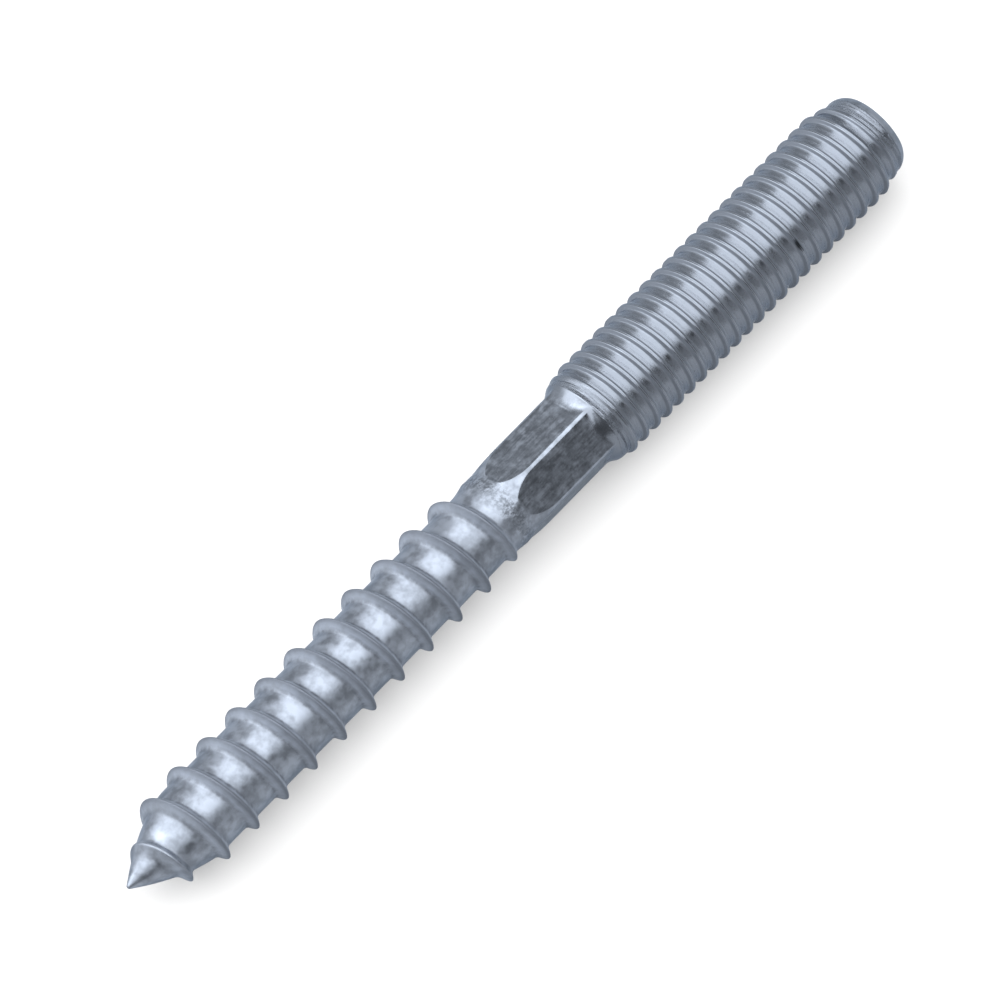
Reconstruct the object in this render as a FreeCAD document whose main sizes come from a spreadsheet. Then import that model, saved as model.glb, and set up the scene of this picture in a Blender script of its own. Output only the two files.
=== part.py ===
import FreeCAD, Part
import math
import os

import Sketcher

# A hanger bolt: one steel rod, rolled and pressed from a single blank.
# From the point it carries a coarse wood screw thread, a short shank pressed to a hexagon, and the
# rod of an M8 machine thread with a six-lobe socket in its end.
#
# The bolt lies on its side, as it rests on a table. X runs along it towards the machine thread end,
# Z is up and the thickest part of the rod touches Z = 0.
# While it is being made its axis is the X axis and its point is at X = 0, so every length below is
# measured from the point. The finished bolt is then moved to its place.

# The three lengths of the bolt.
overall_length = 79.45
screw_length = 39.35
machine_length = 31.4

# The wood thread and its point.
wood_pitch = 3.05
wood_major = 7.25
core_front = 5.92
core_rear = 5.68
crest_width = 0.26
fin_width = 1.08
wood_turn = 325.6
point_length = 6.75
point_fullness = 1.6
point_blunt = 0.24
thread_start = 1.15
thread_rise = 6.0
rise_slowness = 1.5
thread_fade = 4.3

# The neck and the pressed shank.
neck_dia = 6.1
neck_blend = 1.5
neck_length = 0.84
flats_across = 5.97
flats_turn = 10.2
flare_length = 2.3
flare_bow = 8.6
ridge_rise = 0.385

# The rod of the machine thread.
collar_ramp = 1.1
collar_foot = 5.86
collar_dia = 7.16
collar_hollow = 12.0
run_in = 1.3
machine_dia = 7.92
lead_length = 2.8
lead_chamfer = 0.6
lead_dia = 7.44
nose_dia = 6.84
nose_length = 0.7
end_dia = 5.96
nose_round = 1.3

# The six-lobe socket.
lobe_tips = 4.5
lobe_roots = 3.27
lobe_radius = 0.39
socket_depth = 2.8
socket_drill = 3.0
drill_angle = 120.0

doc = FreeCAD.newDocument("HangerBolt")
sheet = doc.addObject("Spreadsheet::Sheet", "Sizes")
sheet_rows = []


def size(alias, value, note):
    """One driving size: its name, its value in millimetres or degrees, and what it is."""
    sheet_rows.append(alias)
    row = len(sheet_rows)
    sheet.set(f"A{row}", alias)
    sheet.set(f"B{row}", str(value))
    sheet.set(f"C{row}", note)
    sheet.setAlias(f"B{row}", alias)


size("overall_length", overall_length, "point to the socket end")
size("screw_length", screw_length, "point to the start of the pressed flats")
size("machine_length", machine_length, "collar and machine thread, up to the socket end")

size("wood_pitch", wood_pitch, "wood thread, crest to crest")
size("wood_major", wood_major, "wood thread, outside diameter")
size("core_front", core_front, "core diameter just behind the point")
size("core_rear", core_rear, "core diameter at the last turns")
size("crest_width", crest_width, "flat on the crest of the wood thread")
size("fin_width", fin_width, "foot of the wood thread on the core")
size("wood_turn", wood_turn, "roll of the wood thread about the axis, degrees")
size("point_length", point_length, "length over which the core swells from the point")
size("point_fullness", point_fullness, "1 gives a plain cone, more gives a fuller point")
size("point_blunt", point_blunt, "diameter left on the very tip")
size("thread_start", thread_start, "where the wood thread begins to rise, from the point")
size("thread_rise", thread_rise, "length over which it rises to full height")
size("rise_slowness", rise_slowness, "more than 1 holds the first turn lower")
size("thread_fade", thread_fade, "length over which it sinks into the neck")

size("neck_dia", neck_dia, "round neck between the wood thread and the flats")
size("neck_blend", neck_blend, "length over which the core swells to the neck")
size("neck_length", neck_length, "plain neck left between the thread and the flats")
size("flats_across", flats_across, "width over two opposite flats")
size("flats_turn", flats_turn, "roll of the flats about the axis, degrees")
size("flare_length", flare_length, "length over which the blank flares to its full width")
size("flare_bow", flare_bow, "radius of that flare, seen from the side")
size("ridge_rise", ridge_rise, "how far the round ridges stand out over the flats")

size("collar_ramp", collar_ramp, "length of the ramp that ends the flats")
size("collar_foot", collar_foot, "diameter where that ramp starts, inside the flats")
size("collar_dia", collar_dia, "collar before the machine thread")
size("collar_hollow", collar_hollow, "radius of that hollow ramp")
size("run_in", run_in, "length over which the machine thread reaches full diameter")
size("machine_dia", machine_dia, "machine thread, outside diameter")
size("lead_length", lead_length, "smooth lead at the socket end")
size("lead_chamfer", lead_chamfer, "length of the chamfer that begins the lead")
size("lead_dia", lead_dia, "lead behind that chamfer")
size("nose_dia", nose_dia, "lead where the rounded nose begins")
size("nose_length", nose_length, "length of the nose")
size("end_dia", end_dia, "flat end face")
size("nose_round", nose_round, "radius of the nose, seen from the side")

size("lobe_tips", lobe_tips, "socket, across the tips of opposite lobes")
size("lobe_roots", lobe_roots, "socket, across the ribs between the lobes")
size("lobe_radius", lobe_radius, "socket, radius of each lobe")
size("socket_depth", socket_depth, "socket, full depth of the lobes")
size("socket_drill", socket_drill, "diameter of the drill cone under the socket")
size("drill_angle", drill_angle, "angle of that cone, degrees")
doc.recompute()


def value(expression):
    """The present value of an expression in the sheet's names."""
    result = sheet.evalExpression(expression)
    return float(getattr(result, "Value", result))


def plane(body, role):
    """One of a body's own origin planes."""
    return next(item for item in body.Origin.OriginFeatures if item.Role == role)


def bind(sketch, index, name, expression):
    """Names a sketch constraint and ties it to the sheet."""
    sketch.renameConstraint(index, name)
    sketch.setExpression("Constraints." + name, expression)


def profile_arc(start, end, radius):
    """An arc between two corners of a lathe profile. A positive radius swells out of the bolt, a
    negative one is hollow."""
    along = end - start
    inward = FreeCAD.Vector(along.y, -along.x, 0).normalize()
    if radius < 0:
        inward = -inward
        start, end = end, start
    centre = (start + end) * 0.5 + inward * math.sqrt(radius**2 - (along.Length / 2) ** 2)
    circle = Part.Circle(centre, FreeCAD.Vector(0, 0, 1), abs(radius))
    first = math.atan2(end.y - centre.y, end.x - centre.x)
    last = math.atan2(start.y - centre.y, start.x - centre.x)
    return Part.ArcOfCircle(circle, first, last)


def lathe_profile(body, name, corners, swells={}, hollows={}):
    """A closed outline beside the X axis. Each corner is a pair of sheet expressions: the distance
    from the point and the diameter. A diameter of "0" lies on the axis. The side that begins at a
    corner is straight, or an arc with the radius that swells or hollows gives for that corner."""
    sketch = body.newObject("Sketcher::SketchObject", name)
    sketch.AttachmentSupport = [(plane(body, "XZ_Plane"), "")]
    sketch.MapMode = "FlatFace"
    places = [FreeCAD.Vector(value(along), value(across) / 2, 0) for along, across in corners]
    for k, (start, end) in enumerate(zip(places, places[1:] + places[:1])):
        if k in swells:
            sketch.addGeometry(profile_arc(start, end, value(swells[k])), False)
        elif k in hollows:
            sketch.addGeometry(profile_arc(start, end, -value(hollows[k])), False)
        else:
            sketch.addGeometry(Part.LineSegment(start, end), False)
    # An arc runs anticlockwise, so a swelling one begins at its side's far corner.
    near = [2 if k in swells else 1 for k in range(len(corners))]
    count = len(corners)
    for k in range(count):
        after = (k + 1) % count
        sketch.addConstraint(Sketcher.Constraint("Coincident", k, 3 - near[k], after, near[after]))
    for k, (along, across) in enumerate(corners):
        index = sketch.addConstraint(Sketcher.Constraint("DistanceX", -1, 1, k, near[k], places[k].x))
        bind(sketch, index, f"{name}_along_{k}", along)
        if across == "0":
            sketch.addConstraint(Sketcher.Constraint("PointOnObject", k, near[k], -1))
        else:
            height = Sketcher.Constraint("DistanceY", -1, 1, k, near[k], places[k].y)
            bind(sketch, sketch.addConstraint(height), f"{name}_radius_{k}", f"({across}) / 2")
    for k, radius in {**swells, **hollows}.items():
        index = sketch.addConstraint(Sketcher.Constraint("Radius", k, value(radius)))
        bind(sketch, index, f"{name}_arc_{k}", radius)
    return sketch


def turned(body, name, sketch):
    """The outline spun about the X axis."""
    spin = body.newObject("PartDesign::Revolution", name)
    spin.Profile = sketch
    spin.ReferenceAxis = (sketch, ["H_Axis"])
    spin.Angle = 360.0
    sketch.Visibility = False
    return spin


# The pressed shank.
# The blank swells from the round neck to the width over the ridges, and six flats are pressed into
# it. They start as blunt tongues where the blank is still hardly wider than the hexagon.
shank = doc.addObject("PartDesign::Body", "Shank")
shank.Label = "pressed shank"
shank_rear = "Sizes.overall_length - Sizes.machine_length"
ridge_dia = "Sizes.flats_across + 2 * Sizes.ridge_rise"
shank_outline = lathe_profile(
    shank,
    "shank_outline",
    [
        ("Sizes.screw_length", "0"),
        ("Sizes.screw_length", "Sizes.neck_dia"),
        ("Sizes.screw_length + Sizes.flare_length", ridge_dia),
        (shank_rear, ridge_dia),
        (shank_rear, "0"),
    ],
    swells={1: "Sizes.flare_bow"},
)
shank_blank = turned(shank, "ShankBlank", shank_outline)
doc.recompute()
blank_volume = shank_blank.Shape.Volume

flats = shank.newObject("Sketcher::SketchObject", "flats_section")
flats.AttachmentSupport = [(plane(shank, "YZ_Plane"), "")]
flats.MapMode = "FlatFace"
flats.AttachmentOffset = FreeCAD.Placement(
    FreeCAD.Vector(0, 0, value(shank_rear + " + Sizes.collar_ramp")), FreeCAD.Rotation()
)
flats.setExpression("AttachmentOffset.Base.z", shank_rear + " + Sizes.collar_ramp")
corner_radius = value("Sizes.flats_across") / math.sqrt(3)
first_corner = math.radians(value("Sizes.flats_turn")) + math.pi / 6
hexagon = [
    FreeCAD.Vector(
        corner_radius * math.cos(first_corner + k * math.pi / 3),
        corner_radius * math.sin(first_corner + k * math.pi / 3),
        0,
    )
    for k in range(6)
]
for k in range(6):
    flats.addGeometry(Part.LineSegment(hexagon[k], hexagon[(k + 1) % 6]), False)
for k in range(6):
    flats.addConstraint(Sketcher.Constraint("Coincident", k, 2, (k + 1) % 6, 1))
corner_circle = flats.addGeometry(
    Part.Circle(FreeCAD.Vector(0, 0, 0), FreeCAD.Vector(0, 0, 1), corner_radius), True
)
flats.addConstraint(Sketcher.Constraint("Coincident", corner_circle, 3, -1, 1))
for k in range(6):
    flats.addConstraint(Sketcher.Constraint("PointOnObject", k, 1, corner_circle))
for k in range(1, 6):
    flats.addConstraint(Sketcher.Constraint("Equal", 0, k))
index = flats.addConstraint(Sketcher.Constraint("Radius", corner_circle, corner_radius))
bind(flats, index, "corner_radius", "Sizes.flats_across / sqrt(3)")
corner_spoke = flats.addGeometry(Part.LineSegment(FreeCAD.Vector(0, 0, 0), hexagon[0]), True)
flats.addConstraint(Sketcher.Constraint("Coincident", corner_spoke, 1, -1, 1))
flats.addConstraint(Sketcher.Constraint("Coincident", corner_spoke, 2, 0, 1))
index = flats.addConstraint(Sketcher.Constraint("Angle", -1, 1, corner_spoke, 1, first_corner))
bind(flats, index, "first_corner", "Sizes.flats_turn + 30")
outside_radius = value(ridge_dia)
outside = flats.addGeometry(
    Part.Circle(FreeCAD.Vector(0, 0, 0), FreeCAD.Vector(0, 0, 1), outside_radius), False
)
flats.addConstraint(Sketcher.Constraint("Coincident", outside, 3, -1, 1))
index = flats.addConstraint(Sketcher.Constraint("Radius", outside, outside_radius))
bind(flats, index, "outside_radius", ridge_dia)
press = shank.newObject("PartDesign::Pocket", "Flats")
press.Profile = flats
press.Type = 1
flats.Visibility = False
doc.recompute()
assert press.Shape.Volume < 0.98 * blank_volume, "the flats must be pressed into the shank"

# The rod of the machine thread.
# A hollow ramp ends the flats, then come the collar, the run-in, the full diameter that the thread's
# crests reach, and a smooth lead with a rounded nose. The fine thread itself is a surface finish
# on this rod.
rod = doc.addObject("PartDesign::Body", "Rod")
rod.Label = "machine thread rod"
rod_outline = lathe_profile(
    rod,
    "rod_outline",
    [
        (shank_rear + " - Sizes.collar_ramp", "0"),
        (shank_rear + " - Sizes.collar_ramp", "Sizes.collar_foot"),
        (shank_rear, "Sizes.collar_dia"),
        (shank_rear + " + Sizes.run_in", "Sizes.machine_dia"),
        ("Sizes.overall_length - Sizes.lead_length", "Sizes.machine_dia"),
        ("Sizes.overall_length - Sizes.lead_length + Sizes.lead_chamfer", "Sizes.lead_dia"),
        ("Sizes.overall_length - Sizes.nose_length", "Sizes.nose_dia"),
        ("Sizes.overall_length", "Sizes.end_dia"),
        ("Sizes.overall_length", "0"),
    ],
    swells={6: "Sizes.nose_round"},
    hollows={1: "Sizes.collar_hollow"},
)
rod_blank = turned(rod, "RodBlank", rod_outline)
doc.recompute()

rod_volume = rod_blank.Shape.Volume

# One sixth of the socket: a lobe on the sketch's own X axis, with half of the rib on each side.
# The ribs bulge into the socket and meet the lobes smoothly.
lobe = rod.newObject("Sketcher::SketchObject", "lobe_section")
lobe.AttachmentSupport = [(plane(rod, "YZ_Plane"), "")]
lobe.MapMode = "FlatFace"
lobe.AttachmentOffset = FreeCAD.Placement(
    FreeCAD.Vector(0, 0, value("Sizes.overall_length")), FreeCAD.Rotation()
)
lobe.setExpression("AttachmentOffset.Base.z", "Sizes.overall_length")
tip_radius = value("Sizes.lobe_radius")
tip_centre = value("Sizes.lobe_tips") / 2 - tip_radius
rib_reach = value("Sizes.lobe_roots") / 2
half_angle = math.pi / 6
across_rib = tip_centre * math.cos(half_angle)
rib_radius = (
    (tip_radius**2 - tip_centre**2 - rib_reach**2 + 2 * rib_reach * across_rib)
    / (rib_reach - across_rib - tip_radius)
    / 2
)
rib_centre = FreeCAD.Vector(
    (rib_reach + rib_radius) * math.cos(half_angle), (rib_reach + rib_radius) * math.sin(half_angle), 0
)
rib_foot = FreeCAD.Vector(rib_reach * math.cos(half_angle), rib_reach * math.sin(half_angle), 0)
to_rib = rib_centre - FreeCAD.Vector(tip_centre, 0, 0)
to_rib.normalize()
touch = FreeCAD.Vector(tip_centre, 0, 0) + to_rib * tip_radius
tip_angle = math.atan2(to_rib.y, to_rib.x)


def mirrored(point):
    return FreeCAD.Vector(point.x, -point.y, 0)


centre = FreeCAD.Vector(0, 0, 0)
facing = FreeCAD.Vector(0, 0, 1)
foot_angle = math.atan2(rib_foot.y - rib_centre.y, rib_foot.x - rib_centre.x)
touch_angle = math.atan2(touch.y - rib_centre.y, touch.x - rib_centre.x)
upper_spoke = lobe.addGeometry(Part.LineSegment(centre, rib_foot), False)
lower_spoke = lobe.addGeometry(Part.LineSegment(centre, mirrored(rib_foot)), False)
tip_arc = lobe.addGeometry(
    Part.ArcOfCircle(
        Part.Circle(FreeCAD.Vector(tip_centre, 0, 0), facing, tip_radius), -tip_angle, tip_angle
    ),
    False,
)
upper_rib = lobe.addGeometry(
    Part.ArcOfCircle(
        Part.Circle(rib_centre, facing, rib_radius), foot_angle + 2 * math.pi, touch_angle + 2 * math.pi
    ),
    False,
)
lower_rib = lobe.addGeometry(
    Part.ArcOfCircle(Part.Circle(mirrored(rib_centre), facing, rib_radius), -touch_angle, -foot_angle),
    False,
)
lobe.addConstraint(Sketcher.Constraint("Coincident", upper_spoke, 1, -1, 1))
lobe.addConstraint(Sketcher.Constraint("Coincident", lower_spoke, 1, -1, 1))
lobe.addConstraint(Sketcher.Constraint("Coincident", upper_spoke, 2, upper_rib, 1))
lobe.addConstraint(Sketcher.Constraint("Coincident", lower_spoke, 2, lower_rib, 2))
lobe.addConstraint(Sketcher.Constraint("Tangent", upper_rib, 2, tip_arc, 2))
lobe.addConstraint(Sketcher.Constraint("Tangent", lower_rib, 1, tip_arc, 1))
lobe.addConstraint(Sketcher.Constraint("PointOnObject", tip_arc, 3, -1))
lobe.addConstraint(Sketcher.Constraint("PointOnObject", upper_rib, 3, upper_spoke))
lobe.addConstraint(Sketcher.Constraint("PointOnObject", lower_rib, 3, lower_spoke))
index = lobe.addConstraint(Sketcher.Constraint("Angle", -1, 1, upper_spoke, 1, half_angle))
bind(lobe, index, "upper_half", "180 / 6")
index = lobe.addConstraint(Sketcher.Constraint("Angle", lower_spoke, 1, -1, 1, half_angle))
bind(lobe, index, "lower_half", "180 / 6")
index = lobe.addConstraint(Sketcher.Constraint("Distance", upper_spoke, rib_reach))
bind(lobe, index, "rib_reach", "Sizes.lobe_roots / 2")
index = lobe.addConstraint(Sketcher.Constraint("Distance", lower_spoke, rib_reach))
bind(lobe, index, "rib_reach_below", "Sizes.lobe_roots / 2")
index = lobe.addConstraint(Sketcher.Constraint("Radius", tip_arc, tip_radius))
bind(lobe, index, "lobe_radius", "Sizes.lobe_radius")
index = lobe.addConstraint(Sketcher.Constraint("DistanceX", -1, 1, tip_arc, 3, tip_centre))
bind(lobe, index, "lobe_centre", "Sizes.lobe_tips / 2 - Sizes.lobe_radius")

one_lobe = rod.newObject("PartDesign::Pocket", "OneLobe")
one_lobe.Profile = lobe
one_lobe.Length = value("Sizes.socket_depth")
one_lobe.setExpression("Length", "Sizes.socket_depth")
lobe.Visibility = False
doc.recompute()
socket = rod.newObject("PartDesign::PolarPattern", "Socket")
socket.Originals = [one_lobe]
socket.Axis = (lobe, ["N_Axis"])
socket.Angle = 360.0
socket.Occurrences = 6
rod.Tip = socket
doc.recompute()
assert one_lobe.Shape.Volume < rod_volume, "the first lobe must cut the rod"
assert socket.Shape.Volume < one_lobe.Shape.Volume - 4 * (rod_volume - one_lobe.Shape.Volume)

socket_floor = "Sizes.overall_length - Sizes.socket_depth"
drill_outline = lathe_profile(
    rod,
    "drill_outline",
    [
        (socket_floor + " + Sizes.lobe_radius / 4", "0"),
        (socket_floor + " + Sizes.lobe_radius / 4", "Sizes.socket_drill"),
        (socket_floor, "Sizes.socket_drill"),
        (socket_floor + " - Sizes.socket_drill / 2 / tan(Sizes.drill_angle * 1 deg / 2)", "0"),
    ],
)
drill = rod.newObject("PartDesign::Groove", "DrillCone")
drill.Profile = drill_outline
drill.ReferenceAxis = (drill_outline, ["H_Axis"])
drill.Angle = 360.0
drill_outline.Visibility = False
rod.Tip = drill
doc.recompute()
assert drill.Shape.Volume < socket.Shape.Volume, "the drill cone must cut below the socket"

# The wood screw end.
# The core, the fin of the thread and the point are one skin. Four rails run round the core: the
# two feet of the fin and the two edges of its crest. Each rail is cut at every quarter turn and
# each strip between two rails is ruled, so the fin rises out of the point and sinks into the neck
# without a step. At both ends the rails run out one after another on a plain circle, a quarter
# turn apart.
quarter = 0.25
pitch = value("Sizes.wood_pitch")
neck_end = value("Sizes.screw_length")
thread_end = value("Sizes.screw_length - Sizes.neck_length")
rise_start = value("Sizes.thread_start")
rise_length = value("Sizes.thread_rise")
rise_power = value("Sizes.rise_slowness")
fade_length = value("Sizes.thread_fade")
point_end = value("Sizes.point_length")
fullness = value("Sizes.point_fullness")
front_radius = value("Sizes.core_front") / 2
rear_radius = value("Sizes.core_rear") / 2
neck_radius = value("Sizes.neck_dia") / 2
blend_length = value("Sizes.neck_blend")
blunt_radius = value("Sizes.point_blunt") / 2
crest_radius = value("Sizes.wood_major") / 2
fin_foot = value("Sizes.fin_width")
crest_flat = value("Sizes.crest_width")
first_turn = value("Sizes.wood_turn") / 360
# The rails make whole quarter turns. What the last of them lacks to reach the thread's end is
# spread over the turns where the fin sinks away.
quarters = round((thread_end - rise_start) / (pitch * quarter))
rest = thread_end - rise_start - quarters * quarter * pitch
# Where each rail lies in one pitch: the fin's front foot, its crest from front to back, and its
# back foot.
crest_offset = (fin_foot - crest_flat) / 2
rail_places = [0.0, crest_offset / pitch, (crest_offset + crest_flat) / pitch, fin_foot / pitch]
rail_is_crest = [False, True, True, False]


def eased(fraction):
    """Rises from 0 to 1 with a level start and end."""
    inside = min(1.0, max(0.0, fraction))
    return inside * inside * (3 - 2 * inside)


def core_radius(along):
    """The core: a full point, then a slight taper towards the rear, then a swelling to the neck."""
    if along < point_end:
        missing = (1 - max(along, 0.0) / point_end) ** fullness
        return blunt_radius + (front_radius - blunt_radius) * (1 - missing)
    taper = (along - point_end) / (thread_end - point_end)
    plain = front_radius + (rear_radius - front_radius) * min(1.0, taper)
    swelling = eased((along - thread_end + blend_length) / blend_length)
    return plain + (neck_radius - plain) * swelling


def fin_share(along):
    """How much of the fin's height stands: it rises quickly from the point and sinks, slowly at
    first and then fast, into the neck."""
    risen = math.sin(math.pi / 2 * min(1.0, max(0.0, (along - rise_start) / rise_length)))
    risen = risen**rise_power
    sunk = min(1.0, max(0.0, (along - thread_end + fade_length) / fade_length))
    return risen * (1 - sunk**3)


def rail_point(rail, turns):
    """A point on one rail, so many turns round from where the first rail starts."""
    helical = turns + rail * quarter
    left = quarters * quarter - helical
    settled = eased(helical) * eased(left)
    along = rise_start + pitch * (helical + (rail_places[rail] - rail * quarter) * settled)
    along += rest * eased(1 - left * pitch / fade_length)
    across = core_radius(along)
    if rail_is_crest[rail]:
        across += (crest_radius - core_radius(along)) * fin_share(along)
    angle = 2 * math.pi * (turns + first_turn)
    return FreeCAD.Vector(along, across * math.cos(angle), across * math.sin(angle))


def ring_point(along, turns):
    """A point on the bare core."""
    angle = 2 * math.pi * (turns + first_turn)
    across = core_radius(along)
    return FreeCAD.Vector(along, across * math.cos(angle), across * math.sin(angle))


def rail_piece(rail, turns):
    """A quarter turn of a rail as one cubic curve that keeps the rail's direction at both ends."""
    step = 1e-5
    handle = 4 / 3 * math.tan(math.pi / 2 * quarter) / (2 * math.pi)
    start = rail_point(rail, turns)
    end = rail_point(rail, turns + quarter)
    leave = (rail_point(rail, turns + step) - rail_point(rail, turns - step)) * (handle / (2 * step))
    arrive = rail_point(rail, turns + quarter + step) - rail_point(rail, turns + quarter - step)
    arrive = arrive * (handle / (2 * step))
    curve = Part.BezierCurve()
    curve.setPoles([start, start + leave, end - arrive, end])
    return curve.toShape()


def ring_piece(along, turns):
    """A quarter of a plain circle round the core."""
    middle = ring_point(along, turns + quarter / 2)
    return Part.Arc(ring_point(along, turns), middle, ring_point(along, turns + quarter)).toShape()


def skirt(front, rear):
    """The plain skin between two circles of the core, in four quarters."""
    line = Part.makeLine(ring_point(front, 0), ring_point(rear, 0))
    pieces = []
    for k in range(4):
        straight = line.copy()
        straight.rotate(FreeCAD.Vector(0, 0, 0), FreeCAD.Vector(1, 0, 0), 90 * k)
        pieces.append(straight.revolve(FreeCAD.Vector(0, 0, 0), FreeCAD.Vector(1, 0, 0), 90))
    return pieces


rail_pieces = {}
for rail in range(4):
    for k in range(quarters):
        rail_pieces[rail, k] = rail_piece(rail, (k - rail) * quarter)

skin = []
for rail in range(4):
    for k in range(-1, quarters):
        turns = (k - rail) * quarter
        front_edge = ring_piece(rise_start, turns) if k < 0 else rail_pieces[rail, k]
        if k + 1 < quarters:
            rear_edge = rail_pieces[(rail + 1) % 4, k + 1]
        else:
            rear_edge = ring_piece(thread_end, turns)
        skin.append(Part.makeRuledSurface(front_edge, rear_edge))

skin += skirt(0.0, rise_start / 2)
skin += skirt(rise_start / 2, rise_start)
skin += skirt(thread_end, neck_end)
for along in (0.0, neck_end):
    skin.append(Part.Face(Part.Wire([ring_piece(along, k * quarter) for k in range(4)])))

sewn = Part.makeCompound(skin)
sewn.sewShape(1e-4)
wood_screw = doc.addObject("Part::Feature", "WoodScrew")
wood_screw.Label = "wood screw end"
wood_screw.Shape = Part.Solid(sewn.Shells[0])
wood_screw.Placement = FreeCAD.Placement()

# The whole bolt.
# The three lengths are one piece of steel. It is set down so that the rod touches Z = 0 and the
# middle of its length is over the origin.
bolt = doc.addObject("Part::MultiFuse", "Bolt")
bolt.Label = "hanger_bolt"
bolt.Shapes = [wood_screw, shank, rod]
bolt.Refine = False
bolt.setExpression("Placement.Base.x", "-Sizes.overall_length / 2")
bolt.setExpression("Placement.Base.z", "Sizes.machine_dia / 2")
doc.recompute()

for item in doc.Objects:
    assert "Invalid" not in item.State and "Error" not in item.State, item.Name
assert wood_screw.Shape.isValid() and wood_screw.Shape.Volume > 0
assert not bolt.Shape.isNull() and bolt.Shape.isValid()
assert len(bolt.Shape.Solids) == 1, "the bolt must be one solid"

box = bolt.Shape.BoundBox
print(f"bolt: {box.XLength:.2f} x {box.YLength:.2f} x {box.ZLength:.2f} mm, lowest Z {box.ZMin:.3f}")
print(f"volume {bolt.Shape.Volume:.1f} mm3, {len(bolt.Shape.Faces)} faces")
print(f"wood thread ends {thread_end:.2f} mm from the point, after {quarters} quarter turns")

os.makedirs("parts", exist_ok=True)
bolt.Shape.exportStep("parts/hanger_bolt.step")
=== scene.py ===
# %% [markdown]
# A hanger bolt of zinc-plated steel, 80 mm long. One end is a wood screw that is driven into a
# beam, the other end is an M8 machine thread that takes a nut, and between them is a short shank
# with six pressed flats. It lies on a pale table.
# The whole bolt is one piece of steel, so here it is one closed surface. The machine thread is too
# fine for the construction model, so this surface adds it.

import bpy
import numpy as np
from mathutils import Matrix, Vector


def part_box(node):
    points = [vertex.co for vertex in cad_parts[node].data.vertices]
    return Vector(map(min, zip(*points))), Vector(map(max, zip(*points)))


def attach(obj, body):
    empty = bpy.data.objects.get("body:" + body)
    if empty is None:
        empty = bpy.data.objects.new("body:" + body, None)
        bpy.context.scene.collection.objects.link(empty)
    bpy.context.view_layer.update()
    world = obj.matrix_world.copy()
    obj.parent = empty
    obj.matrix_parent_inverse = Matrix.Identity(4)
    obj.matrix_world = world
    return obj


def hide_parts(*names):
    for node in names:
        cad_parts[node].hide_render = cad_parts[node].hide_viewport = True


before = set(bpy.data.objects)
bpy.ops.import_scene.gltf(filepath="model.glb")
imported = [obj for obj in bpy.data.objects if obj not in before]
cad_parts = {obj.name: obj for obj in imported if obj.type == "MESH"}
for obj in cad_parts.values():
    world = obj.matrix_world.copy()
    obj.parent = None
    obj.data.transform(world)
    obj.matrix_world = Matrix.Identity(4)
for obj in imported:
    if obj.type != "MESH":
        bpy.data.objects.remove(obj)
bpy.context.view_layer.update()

MM = 0.001
bolt_low, bolt_high = (np.array(corner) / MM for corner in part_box("hanger_bolt"))
print("the bolt fills", np.round(bolt_low, 3), "to", np.round(bolt_high, 3), "mm")

# %% [markdown]
# Everything on a bolt is measured along its axis, so the sizes below are millimetres from the
# point, and diameters. The length of the bolt and the height of its axis come from the packed
# model. Angles turn about the axis: 0 is towards +Y and 90 is up.

# %% Lengths and diameters
bolt_length = bolt_high[0] - bolt_low[0]
axis_height = (bolt_low[2] + bolt_high[2]) / 2
machine_diameter = bolt_high[2] - bolt_low[2]

neck_start = 38.51
flats_start = 39.35
flare_end = 41.65
ramp_start = 46.95
collar_start = 48.05
run_in_end = 49.35
lead_start = 76.65
lead_shoulder = 77.25
nose_start = 78.75

neck_diameter = 6.1
across_flats = 5.97
ridge_diameter = 6.78
flare_bow = 8.6
collar_foot_diameter = 5.86
collar_diameter = 7.16
collar_hollow = 12.0
lead_diameter = 7.44
nose_diameter = 6.84
end_diameter = 5.96
nose_round = 1.3
flats_turn = 10.2

# %% [markdown]
# The surface is a grid: columns run along the bolt, rows run round it. A plain stretch has level
# rings. On a thread each row climbs by one pitch in a turn, so that crests and roots are always
# followed by rows of their own and stay crisp with few faces.
# The radius at each grid point is a formula of the distance along the bolt and the angle.

# %% Columns of the grid
COLUMNS = 120
turn = np.arange(COLUMNS) / COLUMNS
first_angle = flats_turn - 30.0
even_angles = first_angle + 360.0 * turn


def eased(share):
    """Rises from 0 to 1, level at both ends: 3 s^2 - 2 s^3, with s held between 0 and 1."""
    held = np.clip(share, 0.0, 1.0)
    return held * held * (3.0 - 2.0 * held)


WAVES = 8


def unevenness(along, angle, seed, fineness):
    """A smooth irregular field between about -1 and 1: the mean of eight sine waves that run over
    the bolt's surface in different directions, times two."""
    draw = np.random.RandomState(seed)
    around = np.radians(angle)
    total = np.zeros(np.broadcast(along, angle).shape)
    for _ in range(WAVES):
        waves_along = fineness * draw.uniform(0.3, 1.0) * draw.choice([-1.0, 1.0])
        waves_around = draw.randint(1, max(3, int(fineness * 4)))
        total += np.sin(waves_along * along + waves_around * around + draw.uniform(0, 2 * np.pi))
    return total * 2.0 / WAVES


def band(along, across, angle, home=None, shift=0, **marks):
    """One stretch of the grid. Each array has a line for each row. home is the row that a point is
    welded to, shift is how many rows a thread climbs in one turn, and marks are values that the
    material reads."""
    along, across, angle = np.broadcast_arrays(along, across, angle)
    rows = np.arange(len(along))[:, None] + np.zeros(COLUMNS, dtype=int)
    home = rows if home is None else home
    return {"along": along, "across": across, "angle": angle, "home": home, "shift": shift, **marks}


print(COLUMNS, "columns,", 360.0 / COLUMNS, "degrees apart")

# %% [markdown]
# A thread's rows are set out from its section: the distances from the middle of the crest where
# the section bends. The same distances come back in every pitch. Where a row would pass the end of
# the thread it stops there, and its points are welded into the last level ring.

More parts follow.
